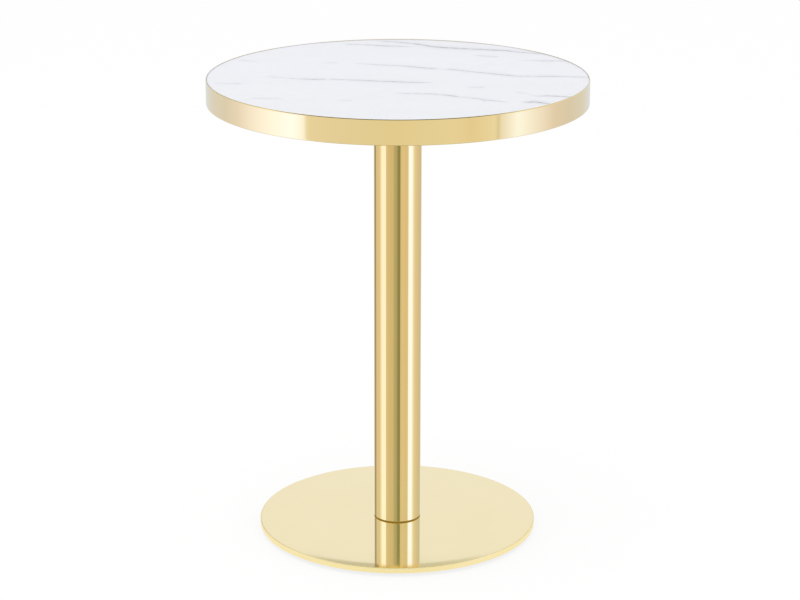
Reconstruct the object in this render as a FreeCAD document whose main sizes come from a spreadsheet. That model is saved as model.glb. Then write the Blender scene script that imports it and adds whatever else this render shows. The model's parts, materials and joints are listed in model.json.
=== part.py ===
import FreeCAD, Part
import math
import os
import re

import Sketcher

# Round pedestal table: a marble-look top in a polished metal band, a tube column and a flat disc base
# on levelling glides. Millimetres, +Z up. The origin is on the floor, on the column's axis, and -Y is
# the front.

doc = FreeCAD.newDocument("round_table")

# Driving sizes, one cell each

SIZES = {
    # overall
    "table_height": 750,
    "top_diameter": 600,
    "base_diameter": 450,
    "column_diameter": 76,
    # top: laminate, core and backing in a rolled band, whose lip stands proud of the laminate
    "band_height": 39,
    "band_lip": 1,
    "band_thickness": 2,
    "band_edge_chamfer": 0.5,
    "band_seam_gap": 0.3,
    "band_glue_gap": 0.1,
    "laminate_thickness": 1,
    "backing_thickness": 0.8,
    # mounting plate under the top
    "plate_diameter": 260,
    "plate_thickness": 5,
    "plate_chamfer": 1,
    # bolts, washers and inserts that hold the plate to the top
    "fixing_count": 6,
    "fixing_inset": 25,
    "bolt_diameter": 6,
    "bolt_length": 20,
    "bolt_head_width": 10,
    "bolt_head_height": 4,
    "bolt_hole_gap": 0.3,
    "bolt_tip_chamfer": 0.8,
    "washer_diameter": 12,
    "washer_thickness": 1.6,
    "washer_hole_gap": 0.2,
    "insert_diameter": 10,
    "insert_length": 15,
    "insert_fit_gap": 0.05,
    "insert_hole_spare": 3,
    # column and its end plugs
    "column_wall": 1.5,
    "column_end_chamfer": 0.7,
    "plug_thickness": 12,
    "plug_fit_gap": 0.05,
    "plug_chamfer": 0.8,
    # countersunk screws at both ends of the column
    "screw_count": 4,
    "screw_inset": 14.5,
    "screw_diameter": 8,
    "screw_head_diameter": 16,
    "screw_recess": 0.2,
    "screw_seat_gap": 0.05,
    "screw_hole_gap": 0.5,
    "screw_tip_chamfer": 1,
    "screw_socket_width": 5,
    "screw_socket_depth": 3,
    "head_screw_length": 16,
    "foot_screw_length": 20,
    # gasket under the column
    "gasket_thickness": 1.4,
    "gasket_inset": 0.5,
    "gasket_width": 8.5,
    # base: a spun cover over a steel ballast plate
    "cover_thickness": 0.8,
    "cover_edge_radius": 1.2,
    "cover_fit_gap": 0.2,
    "ballast_thickness": 8,
    "ballast_chamfer": 0.5,
    # levelling glides: a threaded stud with a hexagon collar, held in a nylon pad
    "glide_count": 4,
    "glide_inset": 33,
    "stud_diameter": 8,
    "stud_tip_gap": 0.5,
    "stud_tip_chamfer": 0.8,
    "collar_width": 13,
    "collar_height": 2.5,
    "neck_diameter": 5.6,
    "bead_diameter": 7.8,
    "bead_height": 1.2,
    "bead_gap": 0.08,
    "pad_diameter": 24,
    "pad_height": 3.5,
    "pad_floor": 0.8,
    "pad_edge_chamfer": 0.7,
    # radial play of every thread, which is drawn as a plain cylinder
    "thread_gap": 0.08,
}

sheet = doc.addObject("Spreadsheet::Sheet", "sizes")
for row, (alias, number) in enumerate(SIZES.items(), start=1):
    sheet.set(f"A{row}", alias)
    sheet.set(f"B{row}", str(number))
    sheet.setAlias(f"B{row}", alias)
doc.recompute()

# Sizes and levels that follow from the driving sizes

GLIDE_LIFT = "(pad_height + collar_height)"
COVER_TOP = f"({GLIDE_LIFT} + ballast_thickness + cover_thickness)"
COLUMN_FOOT = f"({COVER_TOP} + gasket_thickness)"
TOP_UNDERSIDE = "(table_height - band_height)"
PLATE_UNDERSIDE = f"({TOP_UNDERSIDE} - plate_thickness)"
BOARD_DIAMETER = "(top_diameter - 2 * band_thickness - 2 * band_glue_gap)"
CORE_THICKNESS = "(band_height - band_lip - laminate_thickness - backing_thickness)"
COLUMN_BORE = "(column_diameter - 2 * column_wall)"
SCREW_RADIUS = f"({COLUMN_BORE} / 2 - screw_inset)"
FIXING_RADIUS = "(plate_diameter / 2 - fixing_inset)"
GLIDE_RADIUS = "(base_diameter / 2 - glide_inset)"
INSERT_HOLE = "(insert_diameter + 2 * insert_fit_gap)"


def bound(text):
    """A sheet expression, from one that gives each size by its bare name."""
    return re.sub(r"[a-z]+(?:_[a-z]+)+", r"sizes.\g<0>", text)


# Building blocks

def new_body(label, level="0"):
    """A sub-part whose own XY plane lies at the given level."""
    body = doc.addObject("PartDesign::Body", label)
    body.Label = label
    body.setExpression(".Placement.Base.z", bound(level))
    return body


def origin_feature(body, role):
    return next(feature for feature in body.Origin.OriginFeatures if feature.Role == role)


def new_sketch(body, plane, level="0"):
    """A sketch on one of the body's own planes, or at a level above it."""
    sketch = body.newObject("Sketcher::SketchObject", "profile")
    sketch.AttachmentSupport = (origin_feature(body, plane), [""])
    sketch.MapMode = "FlatFace"
    sketch.setExpression(".AttachmentOffset.Base.z", bound(level))
    return sketch


def bind(sketch, kind, *where, to):
    """A sketch dimension that follows a sheet expression."""
    index = sketch.addConstraint(Sketcher.Constraint(kind, *where))
    sketch.setExpression(f"Constraints[{index}]", bound(to))


def add_circle(sketch, diameter, x="0"):
    """A circle of a given diameter, centred on the sketch's X axis."""
    circle = sketch.addGeometry(Part.Circle(FreeCAD.Vector(1, 0), FreeCAD.Vector(0, 0, 1), 1))
    sketch.addConstraint(Sketcher.Constraint("PointOnObject", circle, 3, -1))
    bind(sketch, "DistanceX", -1, 1, circle, 3, 1.0, to=x)
    bind(sketch, "Diameter", circle, 2.0, to=diameter)


def add_polygon(sketch, corners):
    """A closed outline through (x, y) corners. Its corners start on a circle, and the sizes place them."""
    turn = 2 * math.pi / len(corners)
    start = [FreeCAD.Vector(math.cos(i * turn), math.sin(i * turn)) for i in range(len(corners))]
    lines = [sketch.addGeometry(Part.LineSegment(start[i - 1], start[i])) for i in range(len(corners))]
    for line, (x, y), corner in zip(lines, corners, start):
        following = lines[(lines.index(line) + 1) % len(lines)]
        sketch.addConstraint(Sketcher.Constraint("Coincident", line, 2, following, 1))
        bind(sketch, "DistanceX", -1, 1, line, 2, corner.x, to=x)
        bind(sketch, "DistanceY", -1, 1, line, 2, corner.y, to=y)


def add_hexagon(sketch, width, x="0"):
    """A hexagon of a given width across flats, centred on the sketch's X axis."""
    reach = f"({width}) / 2 / cos(30 deg)"
    angles = [f"{60 * i} deg" for i in range(6)]
    add_polygon(sketch, [(f"{x} + {reach} * cos({a})", f"{reach} * sin({a})") for a in angles])


def pad(body, sketch, length):
    feature = body.newObject("PartDesign::Pad", "pad")
    feature.Profile = sketch
    feature.setExpression("Length", bound(length))
    return feature


def pocket(body, sketch, depth, upward=False):
    """A cut of a given depth, down from the sketch or up from it."""
    feature = body.newObject("PartDesign::Pocket", "pocket")
    feature.Profile = sketch
    feature.Reversed = upward
    feature.setExpression("Length", bound(depth))
    return feature


def revolve(body, corners, axis="V_Axis"):
    """A turned piece, from an outline in the plane of X and Z."""
    sketch = new_sketch(body, "XZ_Plane")
    add_polygon(sketch, corners)
    feature = body.newObject("PartDesign::Revolution", "revolution")
    feature.Profile = sketch
    feature.ReferenceAxis = (sketch, [axis])
    return feature


def countersunk_hole(body, radius, level="0", upward=False):
    """A clearance hole for a column screw, with its countersink at the given level."""
    sketch = new_sketch(body, "XY_Plane", level)
    add_circle(sketch, "screw_diameter + 2 * screw_hole_gap", radius)
    doc.recompute()
    feature = body.newObject("PartDesign::Hole", "hole")
    feature.Profile = sketch
    doc.recompute()
    feature.Reversed = upward
    feature.DepthType = "ThroughAll"
    feature.setExpression("Diameter", bound("screw_diameter + 2 * screw_hole_gap"))
    feature.HoleCutType = "Countersink"
    feature.HoleCutCustomValues = True
    feature.HoleCutCountersinkAngle = 90
    sink = "screw_head_diameter + 2 * screw_recess + 2 * screw_seat_gap"
    feature.setExpression("HoleCutDiameter", bound(sink))
    return feature


def repeat_round(body, features, count):
    """Copies of features, evenly round the body's own axis."""
    pattern = body.newObject("PartDesign::PolarPattern", "pattern")
    pattern.Originals = features
    pattern.Axis = (origin_feature(body, "Z_Axis"), [""])
    pattern.Angle = 360
    pattern.setExpression("Occurrences", bound(count))
    body.Tip = pattern
    return pattern


def rims(feature, pick=max):
    """The lowest and the highest of a piece's widest (or, with min, narrowest) round edges, by name."""
    doc.recompute()
    circles = [
        (edge.Curve.Radius, edge.CenterOfMass.z, f"Edge{number}")
        for number, edge in enumerate(feature.Shape.Edges, start=1)
        if edge.Curve.TypeId == "Part::GeomCircle"
    ]
    chosen = pick(radius for radius, _, _ in circles)
    rims = sorted((z, name) for radius, z, name in circles if math.isclose(radius, chosen))
    return rims[0][1], rims[-1][1]


def lowest_face(feature):
    """The face with the lowest centre, by name."""
    doc.recompute()
    levels = [face.CenterOfMass.z for face in feature.Shape.Faces]
    return f"Face{levels.index(min(levels)) + 1}"


def soften(body, feature, edges, size, kind="Chamfer"):
    """A chamfer or a fillet on named edges of a feature."""
    dressed = body.newObject(f"PartDesign::{kind}", kind.lower())
    dressed.Base = (feature, list(edges))
    dressed.setExpression("Size" if kind == "Chamfer" else "Radius", bound(size))
    return dressed


def disc(body, diameter, thickness, bore=None):
    """A round plate or ring that stands on the body's own XY plane."""
    sketch = new_sketch(body, "XY_Plane")
    add_circle(sketch, diameter)
    if bore:
        add_circle(sketch, bore)
    return pad(body, sketch, thickness)


def round_hole(body, diameter, radius, depth):
    """A hole at a given distance from the axis, cut upward from the body's own XY plane."""
    sketch = new_sketch(body, "XY_Plane")
    add_circle(sketch, diameter, radius)
    return pocket(body, sketch, depth, upward=True)


# Top surface: a sheet of marble-look laminate

top_laminate = new_body("top_laminate", "table_height - band_lip - laminate_thickness")
disc(top_laminate, BOARD_DIAMETER, "laminate_thickness")

# Core board, with blind holes from below for the threaded inserts

top_core = new_body("top_core", f"{TOP_UNDERSIDE} + backing_thickness")
disc(top_core, BOARD_DIAMETER, CORE_THICKNESS)
insert_hole_depth = "insert_length + insert_hole_spare - backing_thickness"
core_hole = round_hole(top_core, INSERT_HOLE, FIXING_RADIUS, insert_hole_depth)
repeat_round(top_core, [core_hole], "fixing_count")

# Backing sheet, drilled with the core

backing_sheet = new_body("backing_sheet", TOP_UNDERSIDE)
disc(backing_sheet, BOARD_DIAMETER, "backing_thickness")
backing_hole = round_hole(backing_sheet, INSERT_HOLE, FIXING_RADIUS, "backing_thickness")
repeat_round(backing_sheet, [backing_hole], "fixing_count")

# Edge band: a rolled metal strip with softened edges and a low lip, butted together at the back

edge_band = new_body("edge_band", TOP_UNDERSIDE)
band_ring = disc(edge_band, "top_diameter", "band_height", "top_diameter - 2 * band_thickness")
band_edges = [*rims(band_ring), *rims(band_ring, min)[1:]]
soften(edge_band, band_ring, band_edges, "band_edge_chamfer")
seam = new_sketch(edge_band, "XY_Plane")
add_polygon(seam, [
    ("-band_seam_gap / 2", "top_diameter / 2 - 2 * band_thickness"),
    ("band_seam_gap / 2", "top_diameter / 2 - 2 * band_thickness"),
    ("band_seam_gap / 2", "top_diameter / 2 + band_thickness"),
    ("-band_seam_gap / 2", "top_diameter / 2 + band_thickness"),
])
pocket(edge_band, seam, "band_height", upward=True)

# Threaded inserts, screwed into the core from below

threaded_inserts = new_body("threaded_inserts", TOP_UNDERSIDE)
insert_sketch = new_sketch(threaded_inserts, "XY_Plane")
add_circle(insert_sketch, "insert_diameter", FIXING_RADIUS)
add_circle(insert_sketch, "bolt_diameter", FIXING_RADIUS)
insert = pad(threaded_inserts, insert_sketch, "insert_length")
repeat_round(threaded_inserts, [insert], "fixing_count")

# Mounting plate: its bolts pass up into the inserts, and its countersunk screws down into the column

mounting_plate = new_body("mounting_plate", PLATE_UNDERSIDE)
plate_disc = disc(mounting_plate, "plate_diameter", "plate_thickness")
plate_disc = soften(mounting_plate, plate_disc, rims(plate_disc), "plate_chamfer")
bolt_hole = "bolt_diameter + 2 * bolt_hole_gap"
plate_bolt_hole = round_hole(mounting_plate, bolt_hole, FIXING_RADIUS, "plate_thickness")
repeat_round(mounting_plate, [plate_bolt_hole], "fixing_count")
plate_screw_hole = countersunk_hole(mounting_plate, SCREW_RADIUS, "plate_thickness")
repeat_round(mounting_plate, [plate_screw_hole], "screw_count")

# Washers under the bolt heads

fixing_washers = new_body("fixing_washers", f"{PLATE_UNDERSIDE} - washer_thickness")
washer_sketch = new_sketch(fixing_washers, "XY_Plane")
add_circle(washer_sketch, "washer_diameter", FIXING_RADIUS)
add_circle(washer_sketch, "bolt_diameter + 2 * washer_hole_gap", FIXING_RADIUS)
washer = pad(fixing_washers, washer_sketch, "washer_thickness")
repeat_round(fixing_washers, [washer], "fixing_count")

# Hexagon-head bolts, pointing up

fixing_bolts = new_body("fixing_bolts", f"{PLATE_UNDERSIDE} - washer_thickness")
shank_radius = f"{FIXING_RADIUS} + bolt_diameter / 2 - thread_gap"
bolt_shank = revolve(fixing_bolts, [
    (FIXING_RADIUS, "bolt_length"),
    (FIXING_RADIUS, "0"),
    (shank_radius, "0"),
    (shank_radius, "bolt_length - bolt_tip_chamfer"),
    (f"{shank_radius} - bolt_tip_chamfer", "bolt_length"),
], axis="Edge2")
head_sketch = new_sketch(fixing_bolts, "XY_Plane", "-bolt_head_height")
add_hexagon(head_sketch, "bolt_head_width", FIXING_RADIUS)
bolt_head = pad(fixing_bolts, head_sketch, "bolt_head_height")
repeat_round(fixing_bolts, [bolt_shank, bolt_head], "fixing_count")


# End plugs of the column: tapped steel discs, welded in flush

def end_plug(label, level):
    body = new_body(label, level)
    plug = disc(body, f"{COLUMN_BORE} - 2 * plug_fit_gap", "plug_thickness")
    plug = soften(body, plug, rims(plug), "plug_chamfer")
    tapped_hole = round_hole(body, "screw_diameter", SCREW_RADIUS, "plug_thickness")
    repeat_round(body, [tapped_hole], "screw_count")


end_plug("head_plug", f"{PLATE_UNDERSIDE} - plug_thickness")
end_plug("foot_plug", COLUMN_FOOT)

# Column: a plain tube between the gasket and the mounting plate

column_tube = new_body("column_tube", COLUMN_FOOT)
tube = disc(column_tube, "column_diameter", f"{PLATE_UNDERSIDE} - {COLUMN_FOOT}", COLUMN_BORE)
soften(column_tube, tube, rims(tube), "column_end_chamfer")


# Countersunk socket screws: one set holds the plate to the column, the other the base

def countersunk_screws(label, level, length):
    """Screws that point up, with their heads' flat faces at the given level."""
    body = new_body(label, level)
    cone = "(screw_head_diameter / 2 - screw_diameter / 2 + thread_gap)"
    thread = f"{SCREW_RADIUS} + screw_diameter / 2 - thread_gap"
    shank = revolve(body, [
        (SCREW_RADIUS, length),
        (SCREW_RADIUS, "0"),
        (f"{SCREW_RADIUS} + screw_head_diameter / 2", "0"),
        (thread, cone),
        (thread, f"{length} - screw_tip_chamfer"),
        (f"{thread} - screw_tip_chamfer", length),
    ], axis="Edge2")
    sketch = new_sketch(body, "XY_Plane")
    add_hexagon(sketch, "screw_socket_width", SCREW_RADIUS)
    socket = pocket(body, sketch, "screw_socket_depth", upward=True)
    repeat_round(body, [shank, socket], "screw_count")
    return body


countersunk_screws("foot_screws", f"{GLIDE_LIFT} + screw_recess", "foot_screw_length")
head_screws = countersunk_screws("head_screws", f"{TOP_UNDERSIDE} - screw_recess", "head_screw_length")
head_screws.Placement.Rotation = FreeCAD.Rotation(FreeCAD.Vector(1, 0, 0), 180)

# Gasket: a thin amber ring that keeps the tube's end off the polished base

foot_gasket = new_body("foot_gasket", COVER_TOP)
gasket_diameter = "column_diameter - 2 * gasket_inset"
disc(foot_gasket, gasket_diameter, "gasket_thickness", f"{gasket_diameter} - 2 * gasket_width")

# Base cover: a polished sheet, spun over the ballast with a rounded edge and a short skirt

base_cover = new_body("base_cover", GLIDE_LIFT)
cover_disc = disc(base_cover, "base_diameter", "ballast_thickness + cover_thickness")
cover_top_rim = rims(cover_disc)[1:]
cover_round = soften(base_cover, cover_disc, cover_top_rim, "cover_edge_radius", "Fillet")
cover_shell = base_cover.newObject("PartDesign::Thickness", "shell")
cover_shell.Base = (cover_round, [lowest_face(cover_round)])
cover_shell.setExpression("Value", bound("cover_thickness"))
cover_shell.Reversed = True
cover_sketch = new_sketch(base_cover, "XY_Plane", "ballast_thickness")
add_circle(cover_sketch, "screw_diameter + 2 * screw_hole_gap", SCREW_RADIUS)
cover_hole = pocket(base_cover, cover_sketch, "cover_thickness", upward=True)
repeat_round(base_cover, [cover_hole], "screw_count")

# Ballast: a steel plate that fills the cover, tapped for the glides

base_ballast = new_body("base_ballast", GLIDE_LIFT)
ballast_diameter = "base_diameter - 2 * cover_thickness - 2 * cover_fit_gap"
ballast = disc(base_ballast, ballast_diameter, "ballast_thickness")
inner_bend = "cover_edge_radius - cover_thickness + cover_fit_gap"
ballast = soften(base_ballast, ballast, rims(ballast)[1:], inner_bend)
soften(base_ballast, ballast, rims(ballast)[:1], "ballast_chamfer")
ballast_screw_hole = countersunk_hole(base_ballast, SCREW_RADIUS, upward=True)
repeat_round(base_ballast, [ballast_screw_hole], "screw_count")
glide_hole = round_hole(base_ballast, "stud_diameter", GLIDE_RADIUS, "ballast_thickness")
repeat_round(base_ballast, [glide_hole], "glide_count")


# Levelling glides: each stud turns in its pad, which holds it by a bead in an undercut chamber

def place_glide(body, number):
    """Stand a body on its glide's axis. The first glide is on +X, where the ballast's first hole is."""
    angle = f"{number - 1} * 360 deg / glide_count"
    body.setExpression(".Placement.Base.x", bound(f"{GLIDE_RADIUS} * cos({angle})"))
    body.setExpression(".Placement.Base.y", bound(f"{GLIDE_RADIUS} * sin({angle})"))


def glide_pad(number):
    body = new_body(f"glide_pad_{number}")
    bore = "neck_diameter / 2 + bead_gap"
    chamber = "bead_diameter / 2 + bead_gap"
    chamber_top = "pad_floor + bead_height + 2 * bead_gap"
    pad_disc = revolve(body, [
        ("0", "0"),
        ("pad_diameter / 2", "0"),
        ("pad_diameter / 2", "pad_height"),
        (bore, "pad_height"),
        (bore, chamber_top),
        (chamber, chamber_top),
        (chamber, "pad_floor"),
        ("0", "pad_floor"),
    ])
    soften(body, pad_disc, rims(pad_disc), "pad_edge_chamfer")
    place_glide(body, number)


def glide_stud(number):
    body = new_body(f"glide_stud_{number}")
    bead_foot = "pad_floor + bead_gap"
    bead_top = f"{bead_foot} + bead_height"
    thread = "stud_diameter / 2 - thread_gap"
    tip = f"{GLIDE_LIFT} + ballast_thickness - stud_tip_gap"
    revolve(body, [
        ("0", bead_foot),
        ("bead_diameter / 2", bead_foot),
        ("bead_diameter / 2", bead_top),
        ("neck_diameter / 2", bead_top),
        ("neck_diameter / 2", GLIDE_LIFT),
        (thread, GLIDE_LIFT),
        (thread, f"{tip} - stud_tip_chamfer"),
        (f"{thread} - stud_tip_chamfer", tip),
        ("0", tip),
    ])
    sketch = new_sketch(body, "XY_Plane", "pad_height")
    add_hexagon(sketch, "collar_width")
    pad(body, sketch, "collar_height")
    place_glide(body, number)


doc.recompute()
for number in range(1, int(sheet.get("glide_count")) + 1):
    glide_pad(number)
    glide_stud(number)

# Checks and files

doc.recompute()
for item in doc.Objects:
    if "Invalid" in item.State or "Error" in item.State:
        raise RuntimeError(f"{item.Label} failed: {item.State}")
    if item.isDerivedFrom("PartDesign::Pocket") or item.isDerivedFrom("PartDesign::Hole"):
        if item.Shape.Volume >= item.BaseFeature.Shape.Volume:
            raise RuntimeError(f"{item.Label} of {item.getParentGeoFeatureGroup().Label} cuts nothing")

sub_parts = [item for item in doc.Objects if item.isDerivedFrom("PartDesign::Body")]
for body in sub_parts:
    if body.Shape.isNull() or not body.Shape.isValid():
        raise RuntimeError(f"{body.Label} has no valid shape")

os.makedirs("parts", exist_ok=True)
for body in sub_parts:
    body.Shape.exportStep(f"parts/{body.Label}.step")
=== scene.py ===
import json
import math

import bpy
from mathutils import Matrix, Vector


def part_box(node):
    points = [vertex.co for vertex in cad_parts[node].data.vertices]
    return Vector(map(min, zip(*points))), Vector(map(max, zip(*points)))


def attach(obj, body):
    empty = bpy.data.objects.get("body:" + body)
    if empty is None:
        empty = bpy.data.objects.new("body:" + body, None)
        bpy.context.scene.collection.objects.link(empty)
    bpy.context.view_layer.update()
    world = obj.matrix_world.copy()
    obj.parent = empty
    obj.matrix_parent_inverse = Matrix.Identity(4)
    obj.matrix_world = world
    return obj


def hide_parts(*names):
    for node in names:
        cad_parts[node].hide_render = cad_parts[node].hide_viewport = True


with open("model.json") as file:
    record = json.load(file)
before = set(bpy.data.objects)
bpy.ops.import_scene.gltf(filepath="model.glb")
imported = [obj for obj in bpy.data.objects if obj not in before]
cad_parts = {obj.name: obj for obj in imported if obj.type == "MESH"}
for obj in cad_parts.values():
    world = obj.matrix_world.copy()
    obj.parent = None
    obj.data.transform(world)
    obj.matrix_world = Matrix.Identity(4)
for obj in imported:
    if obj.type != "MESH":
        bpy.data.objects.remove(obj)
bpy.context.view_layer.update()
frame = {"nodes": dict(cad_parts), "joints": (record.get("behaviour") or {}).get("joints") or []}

nodes = frame["nodes"]
MILLIMETRES = 1000  # in a metre

# Core of the top
# A round of 36 mm medium-density fibreboard, sawn and left raw. The sheets, the band and the inserts
# are all fixed to it, and they hide it.


def linear(code):
    """An sRGB hex colour as linear red, green, blue and alpha."""
    parts = [int(code[i:i + 2], 16) / 255 for i in (0, 2, 4)]
    return [p / 12.92 if p <= 0.04045 else ((p + 0.055) / 1.055) ** 2.4 for p in parts] + [1]


def add(tree, kind, inputs, **settings):
    """Adds a shader node with its settings, and feeds its inputs with values or other nodes' outputs."""
    made = tree.nodes.new("ShaderNode" + kind)
    for name, value in settings.items():
        setattr(made, name, value)
    for socket, value in inputs.items():
        if isinstance(value, bpy.types.NodeSocket):
            tree.links.new(value, made.inputs[socket])
        else:
            made.inputs[socket].default_value = value
    return made


def start_material(name):
    """An empty material, and its place in millimetres on the piece."""
    made = bpy.data.materials.new(name)
    made.use_nodes = True
    tree = made.node_tree
    tree.nodes.clear()
    place = add(tree, "TexCoord", {})
    scaled = add(tree, "VectorMath", {0: place.outputs["Object"], "Scale": MILLIMETRES}, operation="SCALE")
    return made, tree, scaled.outputs[0]


def finish_material(tree, **inputs):
    """Ends a material in its surface shader."""
    shader = add(tree, "BsdfPrincipled", {name.replace("_", " "): value for name, value in inputs.items()})
    add(tree, "OutputMaterial", {"Surface": shader.outputs[0]})


# Raw fibreboard is dull and dry, with short brown fibres lying flat in the sheet.
fibreboard, tree, place = start_material("raw_fibreboard")
FIBRE_LENGTH, FIBRE_WIDTH = 3.5, 0.5
lying = add(tree, "Mapping", {
    "Vector": place, "Scale": [1 / FIBRE_LENGTH, 1 / FIBRE_LENGTH, 1 / FIBRE_WIDTH]})
fibre = add(tree, "TexNoise", {"Vector": lying.outputs[0], "Scale": 1, "Detail": 4})
board = add(tree, "MixRGB", {
    "Fac": fibre.outputs["Fac"], "Color1": linear("8A6B47"), "Color2": linear("BB9A70")})
fuzz = add(tree, "Bump", {"Height": fibre.outputs["Fac"], "Strength": 0.3, "Distance": 0.0003})
finish_material(tree, Base_Color=board.outputs[0], Roughness=0.9, IOR=1.5, Normal=fuzz.outputs[0])
nodes["top_core"].material_slots[0].material = fibreboard

# Backing sheet
# A 0.8 mm sheet of black phenolic laminate, pressed on the underside so that the board stays flat.
# Its face has the fine pebbled texture of the press plate.


def mottle(tree, place, size, tones, roughness, detail=4):
    """A colour that drifts between two tones in soft patches of a size (mm), and a roughness that follows."""
    patch = add(tree, "TexNoise", {"Vector": place, "Scale": 1 / size, "Detail": detail})
    colour = add(tree, "MixRGB", {
        "Fac": patch.outputs["Fac"], "Color1": linear(tones[0]), "Color2": linear(tones[1])})
    rough = add(tree, "MapRange", {
        "Value": patch.outputs["Fac"], "To Min": roughness[0], "To Max": roughness[1]})
    return colour.outputs[0], rough.outputs[0]


# Pressed phenolic sheet is nearly black and matt, with a pebbled face and faint greyer patches.
backing, tree, place = start_material("black_phenolic_backing")
PEBBLE = 1.4  # about 0.5 mm on the real sheet, drawn coarser so that it shows
GREY_PATCH = 60
black, matt = mottle(tree, place, GREY_PATCH, ("202021", "2C2B2B"), (0.5, 0.68))
pebble = add(tree, "TexVoronoi", {"Vector": place, "Scale": 1 / PEBBLE}, feature="SMOOTH_F1")
pressed = add(tree, "Bump", {"Height": pebble.outputs["Distance"], "Strength": 0.25, "Distance": 0.0002})
finish_material(tree, Base_Color=black, Roughness=matt, IOR=1.5, Normal=pressed.outputs[0])
nodes["backing_sheet"].material_slots[0].material = backing

# Marble-look top sheet
# A 1 mm high-pressure laminate pressed on the board: paper printed as white marble under a clear
# satin melamine skin. It lies 1 mm below the lip of the metal band.
SHEET_HALF = 300
SHEET_WIDTH = 2 * SHEET_HALF
# Grey veins of the print, each row from left to right as x, y, strength and width in millimetres, seen
# from above with y away from the viewer. A strength of 0 ends a vein, and the row's next one begins.
VEINS = [
    [(-262, 131, 0, 3), (-251, 125, .30, 4), (-232, 118, .30, 4), (-222, 115, 0, 3), (-45, 291, 0, 4),
     (-23, 282, .55, 6), (-6, 278, .60, 7), (16, 269, .60, 8), (36, 258, .70, 9), (56, 240, .85, 8),
     (77, 230, .80, 8), (118, 221, .75, 8), (159, 211, .80, 7), (178, 207, .80, 6), (199, 195, .70, 6),
     (228, 184, .60, 5), (244, 178, .30, 4)],
    [(-226, -152, 0, 3), (-214, -154, .38, 4), (-177, -158, .25, 4), (-168, -159, 0, 3), (-98, 262, 0, 4),
     (-82, 258, .35, 5), (-46, 252, .70, 5), (-22, 244, .75, 5), (2, 242, .65, 5), (17, 239, .40, 4),
     (30, 235, 0, 3)],
    [(-286, -48, 0, 3), (-277, -49, .25, 3), (-244, -53, .40, 4), (-238, -54, 0, 3), (-75, 106, 0, 3),
     (-61, 102, .28, 4), (-31, 92, .55, 5), (-5, 87, .50, 4), (15, 82, .65, 5), (34, 72, .70, 5),
     (57, 63, .75, 5), (66, 61, .12, 4), (76, 58, .25, 4), (83, 57, .60, 5), (105, 47, .60, 5),
     (125, 36, .65, 4), (144, 28, .65, 5), (164, 17, .80, 6), (183, 9, .60, 5), (192, 6, .65, 5),
     (210, 8, .45, 5), (230, 7, .70, 6), (257, 5, .50, 5), (296, 0, .45, 5)],
    [(-208, 3, 0, 3), (-196, -1, .30, 5), (-177, -8, .22, 4), (-158, -15, .45, 4), (-129, -18, .80, 5),
     (-114, -17, .60, 5), (-108, -17, .18, 3), (-102, -17, .65, 4), (-83, -21, .60, 4), (-58, -25, .65, 5),
     (-28, -32, .65, 5), (-5, -34, .80, 5), (14, -38, .75, 5), (35, -41, .55, 4), (51, -42, .18, 4),
     (58, -43, 0, 3), (105, -76, 0, 3), (113, -75, .30, 4), (130, -73, .42, 5), (136, -72, 0, 3)],
    [(-92, -168, 0, 3), (-81, -168, .30, 4), (-71, -167, .30, 4), (-66, -167, 0, 3), (-12, -116, 0, 3),
     (3, -117, .38, 4), (24, -120, .48, 4), (52, -122, .72, 4), (62, -126, .55, 4), (86, -137, .85, 5),
     (92, -142, .32, 4), (108, -148, .45, 4), (123, -156, .65, 4), (129, -165, .55, 8), (134, -162, .65, 5),
     (158, -175, .45, 4), (170, -180, 0, 3), (182, -179, 0, 3), (194, -178, .75, 5), (205, -176, 1, 6),
     (223, -185, .80, 5), (232, -190, .30, 4)],
    [(-122, 108, 0, 3), (-113, 108, .25, 5), (-100, 108, .25, 5), (-94, 108, 0, 3), (118, 172, 0, 3),
     (133, 165, .40, 5), (157, 158, .45, 5), (168, 156, 0, 3), (176, -107, 0, 3), (185, -112, .45, 4),
     (196, -118, .22, 4), (208, -135, .30, 4), (228, -134, .80, 5), (241, -137, .85, 5), (256, -141, .75, 5),
     (270, -146, .30, 4)],
    [(190, 133, 0, 3), (208, 129, .30, 4), (234, 125, .60, 5), (260, 126, .60, 4), (272, 124, .20, 4)],
]


def place_stops(ramp, stops):
    """Gives a colour ramp its stops, each a position from 0 to 1 and three parts of a colour."""
    marks = ramp.color_ramp.elements
    marks.remove(marks[0])
    for number, (position, parts) in enumerate(stops):
        mark = marks.new(position) if number else marks[0]
        mark.position = position
        mark.color = [*parts, 1]


# Laminate gives a soft satin sheen over a cool white, thin veins with a sharp core and a pale halo,
# broken along their length, and very faint clouds between them.
marble, tree, place = start_material("marble_print_laminate")
DRIFT_LENGTH, DRIFT_SIZE = 38, 7
HALO_WIDTH, HALO_STRENGTH = 4.5, 0.16  # as shares of the vein's own
BREAK_LENGTH = 9
CLOUD_LENGTH, CLOUD_WIDTH = 260, 70
CLOUD_TURN = math.radians(20)
GRIT = 1.2  # about 0.3 mm on the real sheet, drawn coarser so that it shows
drift = add(tree, "TexNoise", {"Vector": place, "Scale": 1 / DRIFT_LENGTH, "Detail": 4, "Roughness": 0.6})
moved = add(tree, "VectorMath", {0: drift.outputs["Color"], 1: [DRIFT_SIZE] * 3, 2: place},
            operation="MULTIPLY_ADD")
centred = add(tree, "VectorMath", {0: moved.outputs[0], 1: [DRIFT_SIZE / 2] * 3}, operation="SUBTRACT")
along = add(tree, "SeparateXYZ", {0: centred.outputs[0]})
span = {"From Min": -SHEET_HALF, "From Max": SHEET_HALF}
across_sheet = add(tree, "MapRange", {"Value": along.outputs["X"], **span})
up_sheet = add(tree, "MapRange", {"Value": along.outputs["Y"], **span})
darkness = 0
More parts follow.
